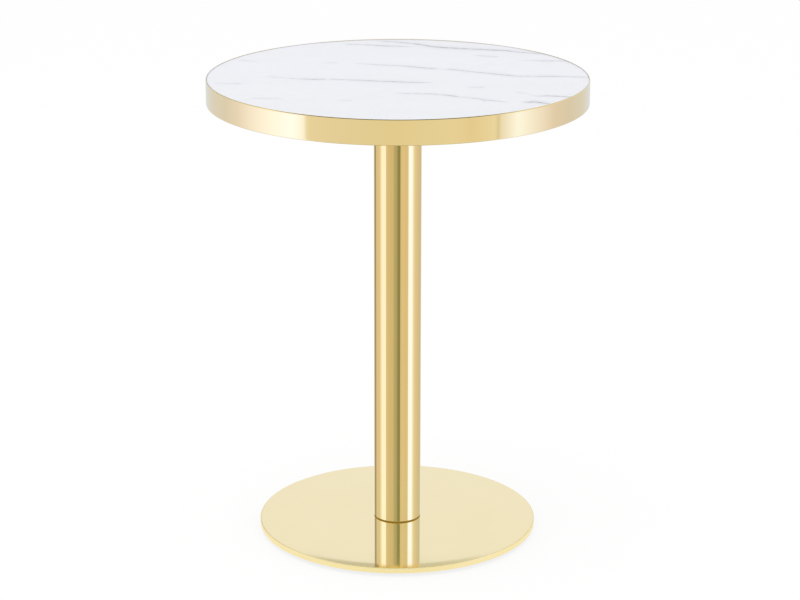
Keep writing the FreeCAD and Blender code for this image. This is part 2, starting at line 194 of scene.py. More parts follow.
for vein in VEINS:
    course = add(tree, "ValToRGB", {"Fac": across_sheet.outputs[0]})
    place_stops(course, [
        ((x + SHEET_HALF) / SHEET_WIDTH, ((y + SHEET_HALF) / SHEET_WIDTH, strength, width / SHEET_WIDTH))
        for x, y, strength, width in vein])
    read = add(tree, "SeparateColor", {0: course.outputs["Color"]})
    off = add(tree, "Math", {0: up_sheet.outputs[0], 1: read.outputs[0]}, operation="SUBTRACT")
    away = add(tree, "Math", {0: off.outputs[0]}, operation="ABSOLUTE")
    core = add(tree, "MapRange", {"Value": away.outputs[0], "From Max": read.outputs[2],
                                  "To Min": read.outputs[1], "To Max": 0}, interpolation_type="SMOOTHSTEP")
    spread = add(tree, "Math", {0: read.outputs[2], 1: HALO_WIDTH}, operation="MULTIPLY")
    faint = add(tree, "Math", {0: read.outputs[1], 1: HALO_STRENGTH}, operation="MULTIPLY")
    halo = add(tree, "MapRange", {"Value": away.outputs[0], "From Max": spread.outputs[0],
                                  "To Min": faint.outputs[0], "To Max": 0}, interpolation_type="SMOOTHERSTEP")
    both = add(tree, "Math", {0: core.outputs[0], 1: halo.outputs[0]}, operation="MAXIMUM")
    darkness = add(tree, "Math", {0: darkness, 1: both.outputs[0]}, operation="MAXIMUM").outputs[0]
broken = add(tree, "TexNoise", {"Vector": place, "Scale": 1 / BREAK_LENGTH, "Detail": 3})
patchy = add(tree, "MapRange", {"Value": broken.outputs["Fac"],
                                "From Min": 0.3, "From Max": 0.6, "To Min": 0.55, "To Max": 1.1})
drawn = add(tree, "Math", {0: darkness, 1: patchy.outputs[0]}, operation="MULTIPLY", use_clamp=True)
turned = add(tree, "Mapping", {"Vector": moved.outputs[0], "Rotation": [0, 0, CLOUD_TURN],
                               "Scale": [1 / CLOUD_LENGTH, 1 / CLOUD_WIDTH, 1]})
cloud = add(tree, "TexNoise", {"Vector": turned.outputs[0], "Scale": 1, "Detail": 5})
ground = add(tree, "MixRGB", {
    "Fac": cloud.outputs["Fac"], "Color1": linear("F1F2F5"), "Color2": linear("E8EAEE")})
veined = add(tree, "MixRGB", {
    "Fac": drawn.outputs[0], "Color1": ground.outputs[0], "Color2": linear("8D929C")})
grit = add(tree, "TexNoise", {"Vector": place, "Scale": 1 / GRIT, "Detail": 2})
satin = add(tree, "MapRange", {"Value": grit.outputs["Fac"], "To Min": 0.30, "To Max": 0.38})
skin = add(tree, "Bump", {"Height": grit.outputs["Fac"], "Strength": 0.04, "Distance": 0.0002})
finish_material(
    tree, Base_Color=veined.outputs[0], Roughness=satin.outputs[0], IOR=1.5, Normal=skin.outputs[0])
nodes["top_laminate"].material_slots[0].material = marble

# Polished edge band
# A 2 mm strip of gold-coloured stainless steel, 39 mm tall, rolled into a hoop round the board and
# polished to a mirror. Its rounded lip stands 1 mm above the laminate, and its ends meet in a fine
# upright seam at the back.


def from_axis(tree, place):
    """A point's distance from the column's axis, in millimetres."""
    flat = add(tree, "VectorMath", {0: place, 1: [1, 1, 0]}, operation="MULTIPLY")
    return add(tree, "VectorMath", {0: flat.outputs[0]}, operation="LENGTH").outputs["Value"]


POLISH_GRAIN = 0.9  # about 0.2 mm on the real metal, drawn coarser so that it shows
HAZE_PATCH = 90
MIRROR_ROUGHNESS = (0.03, 0.075)
DULLEST = 0.6  # the grain times the haze, where the mirror is roughest
BUFFED_ROUGHNESS = 0.35
# A greyer tone, painted shade of the gap between the laminate and the band's lip.
LIP_SHADE_TONE = "D6CDBA"
BUFFED_EDGE, LIP_SHADE_EDGE = 0.4, 0.5  # how wide (mm) the buffed finish, and the painted shade at the lip, fade into the rest
BEYOND = 1000  # a radius (mm) that no piece reaches


def polished_gold(name, tone, pale, rings, buffed_from=BEYOND, shaded_within=0):
    """Gold-coloured polished steel: a mirror with a faint grain of polishing rings and slightly uneven
    tone. From a radius (mm) outward it is only buffed, and its reflections blur. Within a radius (mm) it
    turns from gold to a greyer tone, which is painted shade of the gap at the inner side of the lip."""
    made, tree, place = start_material(name)
    radius = from_axis(tree, place)
    parts = add(tree, "SeparateXYZ", {0: place})
    ring = radius if rings == "flat" else parts.outputs["Z"]
    grain = add(tree, "TexNoise", {"W": ring, "Scale": 1 / POLISH_GRAIN, "Detail": 2}, noise_dimensions="1D")
    haze = add(tree, "TexNoise", {"Vector": place, "Scale": 1 / HAZE_PATCH, "Detail": 3})
    mixed = add(tree, "Math", {0: grain.outputs["Fac"], 1: haze.outputs["Fac"]}, operation="MULTIPLY")
    rough = add(tree, "MapRange", {"Value": mixed.outputs[0], "From Max": DULLEST,
                                   "To Min": MIRROR_ROUGHNESS[0], "To Max": MIRROR_ROUGHNESS[1]})
    buffed = add(tree, "MapRange", {"Value": radius, "From Min": buffed_from,
                                    "From Max": buffed_from + BUFFED_EDGE, "To Max": BUFFED_ROUGHNESS})
    worn = add(tree, "Math", {0: rough.outputs[0], 1: buffed.outputs[0]}, operation="ADD")
    gold = add(tree, "MixRGB", {"Fac": haze.outputs["Fac"], "Color1": linear(tone), "Color2": linear(pale)})
    # From a radius inward the gold turns to the greyer tone: painted shade of the gap at the lip.
    lip_shade = add(tree, "MapRange", {
        "Value": radius, "From Min": shaded_within, "From Max": shaded_within - LIP_SHADE_EDGE})
    colour = add(tree, "MixRGB", {
        "Fac": lip_shade.outputs[0], "Color1": gold.outputs[0], "Color2": linear(LIP_SHADE_TONE)})
    finish_material(tree, Base_Color=colour.outputs[0], Metallic=1, Roughness=worn.outputs[0])
    return made


def extent(node):
    """A CAD node's lowest and highest level, and how far it reaches to the right, to the micron."""
    low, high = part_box(node)
    return [round(size, 6) for size in (low.z, high.z, high.x)]


def apply_modifier(piece, kind, **settings):
    """Adds a modifier to the active piece and applies it."""
    made = piece.modifiers.new(kind.lower(), kind)
    for name, value in settings.items():
        setattr(made, name, value)
    bpy.ops.object.modifier_apply(modifier=made.name)


def pick(piece, wanted):
    """Goes to edit mode with only those vertices selected whose place passes a test."""
    bpy.ops.object.mode_set(mode="EDIT")
    bpy.ops.mesh.select_mode(type="VERT")
    bpy.ops.mesh.select_all(action="DESELECT")
    bpy.ops.object.mode_set(mode="OBJECT")
    for vertex in piece.data.vertices:
        vertex.select = wanted(vertex.co)
    bpy.ops.object.mode_set(mode="EDIT")


def fit(piece, name, material, body, slot, *replaced):
    """Names a finished piece, gives it its material and puts it in the place of CAD nodes."""
    piece.name = piece.data.name = name
    piece.data.materials.append(material)
    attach(piece, body)
    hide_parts(*replaced)


BAND_FOOT, BAND_HEAD, BAND_RADIUS = extent("edge_band")
BAND_THICKNESS = 0.002
BAND_OUTER_ROUND, BAND_INNER_ROUND = 0.0015, 0.0004
GILDED_LIP = 0.0006  # how far the gold colour reaches over the lip, before the painted shade inside it
ROUND_SEGMENTS = 6
BAND_STEPS = 360
SEAM_GAP = 0.0003
QUARTER = math.pi / 2
MIDDLE = BAND_RADIUS - BAND_THICKNESS / 2
INNER_SIDE = BAND_RADIUS - BAND_THICKNESS
NUDGE = 0.00001  # wide enough to catch vertices that lie on a limit
MIRROR_CREASE = math.radians(40)
band_height = BAND_HEAD - BAND_FOOT
bpy.ops.object.select_all(action="DESELECT")
bpy.ops.mesh.primitive_plane_add(
    size=1, rotation=(QUARTER, 0, QUARTER),
    location=(-SEAM_GAP / 2, MIDDLE, BAND_FOOT + band_height / 2))
band = bpy.context.object
band.scale = (BAND_THICKNESS, band_height, 1)
bpy.ops.object.transform_apply(location=True, rotation=True, scale=True)
pick(band, lambda place: place.y > MIDDLE)
bpy.ops.mesh.bevel(offset=BAND_OUTER_ROUND, segments=ROUND_SEGMENTS, affect="VERTICES")
pick(band, lambda place: place.y < INNER_SIDE + NUDGE)
bpy.ops.mesh.bevel(offset=BAND_INNER_ROUND, segments=ROUND_SEGMENTS, affect="VERTICES")
bpy.ops.mesh.select_all(action="SELECT")
bpy.ops.mesh.spin(steps=BAND_STEPS, angle=2 * math.pi - SEAM_GAP / BAND_RADIUS,
                  center=(0, 0, 0), axis=(0, 0, 1))
bpy.ops.mesh.select_all(action="SELECT")
bpy.ops.mesh.fill_holes(sides=0)
bpy.ops.mesh.normals_make_consistent(inside=False)
bpy.ops.object.mode_set(mode="OBJECT")
bpy.ops.object.shade_smooth_by_angle(angle=MIRROR_CREASE)
apply_modifier(band, "WEIGHTED_NORMAL", keep_sharp=True)
# The band's lip is painted greyer on its inner side, as shade of the gap beside the laminate.
gold_band = polished_gold("polished_gold_band", "F2DD99", "F0D892", "upright",
                          shaded_within=(BAND_RADIUS - GILDED_LIP) * MILLIMETRES)
fit(band, "polished_edge_band", gold_band, "table", "polished_gold", "edge_band")

# Threaded inserts
# Six M6 inserts of turned brass, screwed into holes in the underside of the core. Their coarse outer
# thread grips the board, and the bolts go into them.

# Turned brass is a warm yellow metal, with the ridges of its thread and patches that tarnish dulls.
brass, tree, place = start_material("turned_brass")
OUTER_PITCH = 2.5
WAVE_LENGTH = 0.314  # what the wave texture has at a scale of 1
TARNISH_PATCH = 4
tone, dull = mottle(tree, place, TARNISH_PATCH, ("C9A353", "B08B42"), (0.22, 0.42))
groove = add(tree, "TexWave", {"Vector": place, "Scale": WAVE_LENGTH / OUTER_PITCH}, bands_direction="Z")
cut = add(tree, "Bump", {"Height": groove.outputs["Fac"], "Strength": 0.6, "Distance": 0.0006})
finish_material(tree, Base_Color=tone, Metallic=1, Roughness=dull, Normal=cut.outputs[0])
nodes["threaded_inserts"].material_slots[0].material = brass

# Mounting plate
# A 260 mm disc of 5 mm steel, laser-cut, its edge broken by a chamfer and powder-coated black. It
# spreads the load of the top over the end of the column.

# Powder coat is a deep black skin with a fine orange peel, that scatters highlights softly.
powder_coat, tree, place = start_material("black_powder_coat")
PEEL = 1.6  # about 0.7 mm on the real plate, drawn coarser so that it shows
DUST_PATCH = 45
coat, gloss = mottle(tree, place, DUST_PATCH, ("191A1C", "242527"), (0.38, 0.55), detail=5)
peel = add(tree, "TexNoise", {"Vector": place, "Scale": 1 / PEEL, "Detail": 2})
bumpy = add(tree, "Bump", {"Height": peel.outputs["Fac"], "Strength": 0.35, "Distance": 0.0004})
finish_material(tree, Base_Color=coat, Roughness=gloss, IOR=1.5, Normal=bumpy.outputs[0])
nodes["mounting_plate"].material_slots[0].material = powder_coat

# Fixing bolts and washers
# Six M6 x 20 hexagon bolts with plain washers, of zinc-plated steel, hold the plate to the inserts.
# Their heads are cold-formed, with the corners turned off at 30 degrees on the free side.


def turn(profile, steps=96):
    """Draws a profile of radius and height point by point, and turns it about the origin's axis."""
    bpy.ops.object.select_all(action="DESELECT")
    bpy.ops.mesh.primitive_plane_add(size=0.001, location=(0, 0, 0))
    piece = bpy.context.object
    bpy.ops.object.mode_set(mode="EDIT")
    bpy.ops.mesh.merge(type="CENTER")
    bpy.ops.transform.translate(value=(profile[0][0], 0, profile[0][1]))
    for (radius, height), (next_radius, next_height) in zip(profile, profile[1:]):
        bpy.ops.mesh.extrude_vertices_move(
            TRANSFORM_OT_translate={"value": (next_radius - radius, 0, next_height - height)})
    bpy.ops.mesh.select_all(action="SELECT")
    bpy.ops.mesh.spin(steps=steps, angle=2 * math.pi, center=(0, 0, 0), axis=(0, 0, 1))
    bpy.ops.mesh.select_all(action="SELECT")
    bpy.ops.mesh.remove_doubles(threshold=1e-7)
    bpy.ops.mesh.normals_make_consistent(inside=False)
    bpy.ops.object.mode_set(mode="OBJECT")
    return piece


TURNED_END = 0.475  # radius of a hexagon's flat round end, as a share of its width
CORNER_SPARE = 0.0001  # keeps the turned outline clear of the hexagon's corners
CORNER_SLOPE = math.radians(30)


def hexagon(width, low, high, both_ends):
    """A hexagon with its corners turned off at its lower end, or at both, on the origin's axis."""
    corner = width / math.sqrt(3)
    outer, flat = corner + CORNER_SPARE, TURNED_END * width
    cut = (outer - flat) * math.tan(CORNER_SLOPE)
    upper = [(outer, high - cut), (flat, high)] if both_ends else [(outer, high)]
    outline = turn([(0, low), (flat, low), (outer, low + cut), *upper, (0, high)])
    bpy.ops.object.select_all(action="DESELECT")
    bpy.ops.mesh.primitive_cylinder_add(vertices=6, radius=corner, depth=high - low,
                                        location=(0, 0, (low + high) / 2), rotation=(0, 0, QUARTER / 3))
    block = bpy.context.object
    bpy.ops.object.transform_apply(location=True, rotation=True, scale=True)
    apply_modifier(block, "BOOLEAN", operation="INTERSECT", object=outline, solver="EXACT")
    bpy.data.objects.remove(outline)
    return block


THREAD_DEPTH, THREAD_WIDTH = 0.62, 0.84  # of a ridge, as shares of the pitch
THREAD_CREST = 0.15  # width of a ridge's crest, as a share of its foot
THREAD_STEPS = 28


def thread(crest, pitch, low, turns):
    """One coil of metric thread with closed ends, on the origin's axis."""
    depth, width = THREAD_DEPTH * pitch, THREAD_WIDTH * pitch
    halfway, middle = crest - depth / 2, low + width / 2
    bpy.ops.object.select_all(action="DESELECT")
    bpy.ops.mesh.primitive_plane_add(size=1, rotation=(QUARTER, 0, 0), location=(halfway, 0, middle))
    coil = bpy.context.object
    coil.scale = (depth, width, 1)
    bpy.ops.object.transform_apply(location=True, rotation=True, scale=True)
    pick(coil, lambda place: place.x > halfway)
    bpy.ops.transform.resize(value=(1, 1, THREAD_CREST), center_override=(crest, 0, middle))
    bpy.ops.mesh.select_all(action="SELECT")
    bpy.ops.mesh.delete(type="ONLY_FACE")
    bpy.ops.object.mode_set(mode="OBJECT")
    apply_modifier(coil, "SCREW", axis="Z", screw_offset=pitch, iterations=turns,
                   steps=THREAD_STEPS, render_steps=THREAD_STEPS)
    bpy.ops.object.mode_set(mode="EDIT")
    bpy.ops.mesh.select_all(action="SELECT")
    bpy.ops.mesh.fill_holes(sides=0)
    bpy.ops.mesh.normals_make_consistent(inside=False)
    bpy.ops.object.mode_set(mode="OBJECT")
    return coil


def choose(*pieces):
    """Selects these pieces only, and makes the first one active."""
    bpy.ops.object.select_all(action="DESELECT")
    for piece in pieces:
        piece.select_set(True)
    bpy.context.view_layer.objects.active = pieces[0]


def join(*pieces):
    """Joins pieces into the first one."""
    choose(*pieces)
    bpy.ops.object.join()
    return pieces[0]


def move(piece, by):
    """Moves a piece's mesh, and leaves its object at the origin."""
    choose(piece)
    bpy.ops.object.mode_set(mode="EDIT")
    bpy.ops.mesh.select_all(action="SELECT")
    bpy.ops.transform.translate(value=by)
    bpy.ops.object.mode_set(mode="OBJECT")


FITTING_CREASE = math.radians(35)


def ring_of(piece, count):
    """Repeats a piece's mesh evenly round the column's axis."""
    bpy.ops.object.mode_set(mode="EDIT")
    bpy.ops.mesh.select_all(action="SELECT")
    bpy.ops.mesh.spin(steps=count - 1, dupli=True, angle=2 * math.pi * (count - 1) / count,
                      center=(0, 0, 0), axis=(0, 0, 1))
    bpy.ops.mesh.select_all(action="SELECT")
    bpy.ops.mesh.normals_make_consistent(inside=False)
    bpy.ops.object.mode_set(mode="OBJECT")
    bpy.ops.object.shade_smooth_by_angle(angle=FITTING_CREASE)


FIXING_COUNT = 6
WASHER_HOLE, WASHER_RADIUS = 0.0032, 0.006
DIE_ROUND, BURR = 0.0002, 0.0001  # a stamped washer's two edges
BOLT_SEAT, WASHER_TOP, washer_reach = extent("fixing_washers")
FIXING_CIRCLE = washer_reach - WASHER_RADIUS
BOLT_HEAD, BOLT_END = extent("fixing_bolts")[:2]
BOLT_SPANNER = 0.010
BOLT_ROOT, BOLT_CREST = 0.0024, 0.003
BOLT_PITCH, BOLT_TURNS = 0.001, 18
BOLT_CHAMFER = 0.0006
RUN_IN = 0.0004  # how far a shank runs into its head

# Zinc plate is a thin bright skin, slightly blue, with a dull bloom in patches.
zinc, tree, place = start_material("zinc_plated_steel")
BLOOM_PATCH = 3
plated, bloom = mottle(tree, place, BLOOM_PATCH, ("D3D6DC", "B4B8C0"), (0.2, 0.45))
finish_material(tree, Base_Color=plated, Metallic=1, Roughness=bloom)

bolt = turn([(0, BOLT_SEAT - RUN_IN), (BOLT_ROOT, BOLT_SEAT - RUN_IN), (BOLT_ROOT, BOLT_END - BOLT_CHAMFER),
             (BOLT_ROOT - BOLT_CHAMFER, BOLT_END), (0, BOLT_END)], steps=48)
bolt = join(bolt, hexagon(BOLT_SPANNER, BOLT_HEAD, BOLT_SEAT, both_ends=False),
            thread(BOLT_CREST, BOLT_PITCH, BOLT_SEAT + BOLT_CHAMFER, BOLT_TURNS))
move(bolt, (FIXING_CIRCLE, 0, 0))
ring_of(bolt, FIXING_COUNT)
fit(bolt, "zinc_fixing_bolts", zinc, "table", "bright_steel", "fixing_bolts")

washer = turn([
    (WASHER_HOLE, BOLT_SEAT + DIE_ROUND), (WASHER_HOLE + DIE_ROUND, BOLT_SEAT),
    (WASHER_RADIUS - DIE_ROUND, BOLT_SEAT), (WASHER_RADIUS, BOLT_SEAT + DIE_ROUND),
    (WASHER_RADIUS, WASHER_TOP - BURR), (WASHER_RADIUS - BURR, WASHER_TOP), (WASHER_HOLE + BURR, WASHER_TOP),
    (WASHER_HOLE, WASHER_TOP - BURR), (WASHER_HOLE, BOLT_SEAT + DIE_ROUND)], steps=64)
move(washer, (FIXING_CIRCLE, 0, 0))
ring_of(washer, FIXING_COUNT)
fit(washer, "zinc_fixing_washers", zinc, "table", "bright_steel", "fixing_washers")

# End plugs and head screws
# A 12 mm disc of turned steel is welded into each end of the tube and tapped M8. Four countersunk
# socket screws hold the mounting plate to the upper one, with their heads flush under the top.

# Turned steel is a plain grey metal with fine rings left by the tool, and darker stains of oil.
turned_steel, tree, place = start_material("turned_steel")
FEED = 0.5  # about 0.15 mm on the real plug, drawn coarser so that it shows
STAIN_PATCH = 14
tool_mark = add(tree, "TexNoise", {"W": from_axis(tree, place), "Scale": 1 / FEED, "Detail": 1},
                noise_dimensions="1D")
stain = add(tree, "TexNoise", {"Vector": place, "Scale": 1 / STAIN_PATCH, "Detail": 4})
steel = add(tree, "MixRGB", {
    "Fac": stain.outputs["Fac"], "Color1": linear("A3A6AB"), "Color2": linear("83868B")})
marked = add(tree, "MapRange", {"Value": tool_mark.outputs["Fac"], "To Min": 0.28, "To Max": 0.5})
ridged = add(tree, "Bump", {"Height": tool_mark.outputs["Fac"], "Strength": 0.25, "Distance": 0.0002})
finish_material(
    tree, Base_Color=steel.outputs[0], Metallic=1, Roughness=marked.outputs[0], Normal=ridged.outputs[0])
for plug in ("head_plug", "foot_plug"):
    nodes[plug].material_slots[0].material = turned_steel
nodes["head_screws"].material_slots[0].material = zinc

# Column
# A 76 mm welded tube with a 1.5 mm wall, of the same polished gold-coloured steel, its weld ground
# away. The foot stands on a thin gasket, and the ends are eased so they do not cut.
COLUMN_FOOT, COLUMN_HEAD, COLUMN_RADIUS = extent("column_tube")
COLUMN_WALL = 0.0015
COLUMN_EASE, EASE_SEGMENTS = 0.0007, 5
COLUMN_SIDES = 256
SHARP_CORNER = math.radians(60)
bpy.ops.object.select_all(action="DESELECT")
bpy.ops.mesh.primitive_cylinder_add(
    vertices=COLUMN_SIDES, radius=COLUMN_RADIUS, depth=COLUMN_HEAD - COLUMN_FOOT,
    end_fill_type="NOTHING", location=(0, 0, (COLUMN_FOOT + COLUMN_HEAD) / 2))
column = bpy.context.object
bpy.ops.object.transform_apply(location=True, rotation=True, scale=True)
apply_modifier(column, "SOLIDIFY", thickness=COLUMN_WALL, offset=-1)
apply_modifier(column, "BEVEL", width=COLUMN_EASE, segments=EASE_SEGMENTS,
               limit_method="ANGLE", angle_limit=SHARP_CORNER)
bpy.ops.object.shade_smooth_by_angle(angle=MIRROR_CREASE)
apply_modifier(column, "WEIGHTED_NORMAL", keep_sharp=True)
gold_column = polished_gold("polished_gold_column", "F1D690", "EFD28A", "upright")
fit(column, "polished_column", gold_column, "table", "polished_gold", "column_tube")

# Foot gasket
# A 1.4 mm rubber ring between the tube's end and the polished base. Only its edge shows, as
# a thin brown line round the foot: its brown is painted shade of the gap, with the gold reflected in it.

# The rubber's amber brown is painted shade of the gap, with gold reflected in it.
# It has a soft sheen, and looks faded where chalk has dried on it.
gap_shade_rubber, tree, place = start_material("amber_rubber")
CHALK_PATCH = 6
chalk_and_gap_shade, dry = mottle(tree, place, CHALK_PATCH, ("A8942E", "998424"), (0.45, 0.65), detail=5)
finish_material(tree, Base_Color=chalk_and_gap_shade, Roughness=dry, IOR=1.52)
nodes["foot_gasket"].material_slots[0].material = gap_shade_rubber

# Base cover
# A 450 mm disc of 0.8 mm gold-coloured steel, spun down over the ballast with a small rounded rim,
# mirror-polished. It falls away very slightly towards the rim, as spun discs do.
COVER_FOOT, COVER_TOP, COVER_RADIUS = extent("base_cover")
COVER_SHEET = 0.0008
COVER_EDGE, EDGE_SEGMENTS = 0.0012, 8
COVER_SIDES = 288
FALL = [(0.002, 0.00008), (0.009, 0.00003), (0.019, 0)]  # distance in from the rim, and how far it drops
BUFFED_RIM = 0.0017
bpy.ops.object.select_all(action="DESELECT")
bpy.ops.mesh.primitive_circle_add(
    vertices=COVER_SIDES, radius=COVER_RADIUS, fill_type="NGON", location=(0, 0, COVER_TOP))
cover = bpy.context.object
bpy.ops.object.transform_apply(location=True, rotation=True, scale=True)
bpy.ops.object.mode_set(mode="EDIT")
reached = 0
for inward, _ in FALL:
    bpy.ops.mesh.inset(thickness=inward - reached)
    reached = inward
bpy.ops.object.mode_set(mode="OBJECT")
for vertex in cover.data.vertices:
    from_rim = COVER_RADIUS - math.hypot(vertex.co.x, vertex.co.y)
    vertex.co.z -= max([drop for inward, drop in FALL if from_rim < inward + NUDGE], default=0)
bpy.ops.object.mode_set(mode="EDIT")
bpy.ops.mesh.select_mode(type="EDGE")
bpy.ops.mesh.select_all(action="SELECT")
bpy.ops.mesh.region_to_loop()
rim_depth = COVER_TOP - FALL[0][1] - COVER_FOOT
bpy.ops.mesh.extrude_region_move(TRANSFORM_OT_translate={"value": (0, 0, -rim_depth)})
bpy.ops.mesh.select_mode(type="VERT")
bpy.ops.mesh.select_all(action="SELECT")
bpy.ops.mesh.normals_make_consistent(inside=False)
bpy.ops.object.mode_set(mode="OBJECT")
apply_modifier(cover, "BEVEL", width=COVER_EDGE, segments=EDGE_SEGMENTS,
               limit_method="ANGLE", angle_limit=SHARP_CORNER)
apply_modifier(cover, "SOLIDIFY", thickness=COVER_SHEET, offset=-1)
bpy.ops.object.shade_smooth_by_angle(angle=MIRROR_CREASE)
apply_modifier(cover, "WEIGHTED_NORMAL", keep_sharp=True)
# Its gold is paler than the band's: painted reflection of the pale room, which it faces at a glancing angle.
painted_paler_gold_base = polished_gold("polished_gold_base", "F6E6AC", "F4E2A6", "flat",
                          buffed_from=(COVER_RADIUS - BUFFED_RIM) * MILLIMETRES)
fit(cover, "polished_base_cover", painted_paler_gold_base, "table", "polished_gold", "base_cover")

# Ballast plate and foot screws
# An 8 mm plate of cut steel, powder-coated black like the mounting plate, fills the cover and keeps
# the table upright. Four more countersunk screws come up through it into the foot plug.
nodes["base_ballast"].material_slots[0].material = powder_coat
nodes["foot_screws"].material_slots[0].material = zinc

# Levelling glides
# Four M8 studs of zinc-plated steel screw into the ballast. Each has a hexagon collar for a 13 mm
# spanner, and a bead below it that snaps into a moulded ivory nylon pad, so the pad can swivel.
GLIDE_COUNT = 4
PAD_RADIUS, PAD_HEIGHT = 0.012, 0.0035
PAD_ROUND = 0.0007
GROOVE_RADIUS, GROOVE_HALF, GROOVE_DEPTH = 0.0080, 0.0004, 0.0002
BEAD_LOW, BEAD_SIDE_LOW, BEAD_SIDE_HIGH, BEAD_HIGH = 0.00088, 0.0012, 0.00185, 0.00208
BEAD_RADIUS, BEAD_EDGE, NECK_RADIUS = 0.0039, 0.0035, 0.0028
PLAY = 0.00008  # round the bead and the neck, in the pad
NECK_HOLE, BEAD_HOLE = NECK_RADIUS + PLAY, BEAD_RADIUS + PLAY
SOCKET_FLOOR, SOCKET_ROOF = BEAD_LOW - PLAY, BEAD_HIGH + PLAY
COLLAR_SPANNER = 0.013
COLLAR_LOW, COLLAR_HIGH = PAD_HEIGHT, 0.006
STUD_ROOT = 0.0032
STUD_CREST = 0.0039  # cut a little under its name size, so that it runs freely in the ballast
STUD_PITCH, STUD_TURNS = 0.00125, 5
STUD_END, STUD_CHAMFER = 0.0135, 0.0007
STEP = 0.0001  # keeps the shank's and the thread's ends out of the collar's faces


def quarter_round(radius, height, size, start):
    """Four points of a quarter circle about a radius and a height, anticlockwise from an angle in degrees."""
    angles = [math.radians(start + 30 * step) for step in range(4)]
    return [(radius + size * math.cos(angle), height + size * math.sin(angle)) for angle in angles]


pad = turn([
    (0, 0), *quarter_round(PAD_RADIUS - PAD_ROUND, PAD_ROUND, PAD_ROUND, -90),
    *quarter_round(PAD_RADIUS - PAD_ROUND, PAD_HEIGHT - PAD_ROUND, PAD_ROUND, 0),
    (GROOVE_RADIUS + GROOVE_HALF, PAD_HEIGHT), (GROOVE_RADIUS, PAD_HEIGHT - GROOVE_DEPTH),
    (GROOVE_RADIUS - GROOVE_HALF, PAD_HEIGHT), (NECK_HOLE, PAD_HEIGHT), (NECK_HOLE, SOCKET_ROOF),
    (BEAD_HOLE, SOCKET_ROOF), (BEAD_HOLE, SOCKET_FLOOR), (0, SOCKET_FLOOR)])
bpy.ops.object.shade_smooth_by_angle(angle=FITTING_CREASE)
stud = turn([
    (0, BEAD_LOW), (BEAD_EDGE, BEAD_LOW), (BEAD_RADIUS, BEAD_SIDE_LOW), (BEAD_RADIUS, BEAD_SIDE_HIGH),
    (BEAD_EDGE, BEAD_HIGH), (NECK_RADIUS, BEAD_HIGH), (NECK_RADIUS, COLLAR_LOW + STEP),
    (STUD_ROOT, COLLAR_LOW + STEP), (STUD_ROOT, STUD_END - STUD_CHAMFER),
    (STUD_ROOT - STUD_CHAMFER, STUD_END), (0, STUD_END)])
stud = join(stud, hexagon(COLLAR_SPANNER, COLLAR_LOW, COLLAR_HIGH, both_ends=True),
            thread(STUD_CREST, STUD_PITCH, COLLAR_HIGH + STEP, STUD_TURNS))
bpy.ops.object.shade_smooth_by_angle(angle=FITTING_CREASE)

# Moulded nylon has a faint spark-eroded grain and a soft sheen, scuffed in small patches.
nylon, tree, place = start_material("moulded_ivory_nylon")
GRAIN = 0.8  # about 0.2 mm on the real pad, drawn coarser so that it shows
SCUFF_PATCH = 5
ivory, sheen = mottle(tree, place, SCUFF_PATCH, ("E6E1D3", "D3CCB9"), (0.42, 0.6), detail=5)
spark = add(tree, "TexNoise", {"Vector": place, "Scale": 1 / GRAIN, "Detail": 3})
grained = add(tree, "Bump", {"Height": spark.outputs["Fac"], "Strength": 0.2, "Distance": 0.0002})
finish_material(tree, Base_Color=ivory, Roughness=sheen, IOR=1.53, Normal=grained.outputs[0])

# Each glide stands on the axis about which its stud turns.
joints = {joint["name"]: joint for joint in frame["joints"]}
for number in range(1, GLIDE_COUNT + 1):
    spot = joints[f"glide_{number}_turn"]["pos_m"]
    for model, name, body, slot, material in (
            (pad, "nylon_glide_pad", "glide_pad", "ivory_nylon", nylon),
            (stud, "zinc_glide_stud", "glide_stud", "bright_steel", zinc)):
        choose(model)
        bpy.ops.object.duplicate()
        copied = bpy.context.object
        move(copied, spot)
        fit(copied, f"{name}_{number}", material, f"{body}_{number}", slot, f"{body}_{number}")
for model in (pad, stud):
    bpy.data.objects.remove(model)

# Floor and studio
# A plain white floor that keeps the table's soft shadow, and one wide lamp overhead. Round them stand
# pale cloths and cards that only polished metal sees: tiers for the column, for its foot by way of the
# base and for the lip of the top, a small ring close to the band, and a black flag over the front edge.
FLOOR_WIDTH = 60
FLOOR_WHITE = 1.04
FLOOR_GLOW = 0.8  # share of plain white in what the camera sees, the rest being lit and shaded
MIRROR_REACH = 0.12  # polished metal sees the floor up to this far away
SHADE_REACH = 0.03  # and what is nearer than this gets light through it
bpy.ops.object.select_all(action="DESELECT")
bpy.ops.mesh.primitive_plane_add(size=FLOOR_WIDTH, location=(0, 0, 0))
floor = bpy.context.object
floor.name = "studio_floor"
floor_paint = bpy.data.materials.new("white_studio_floor")
floor_paint.use_nodes = True
tree = floor_paint.node_tree
tree.nodes.clear()
path = add(tree, "LightPath", {})
lit = add(tree, "BsdfDiffuse", {"Color": linear("FDFDFD")})
white = add(tree, "Emission", {"Color": [1, 1, 1, 1], "Strength": FLOOR_WHITE})
glow = add(tree, "Math", {0: path.outputs["Is Camera Ray"], 1: FLOOR_GLOW, 2: path.outputs["Is Glossy Ray"]},
           operation="MULTIPLY_ADD")
shown = add(tree, "MixShader", {0: glow.outputs[0], 1: lit.outputs[0], 2: white.outputs[0]})
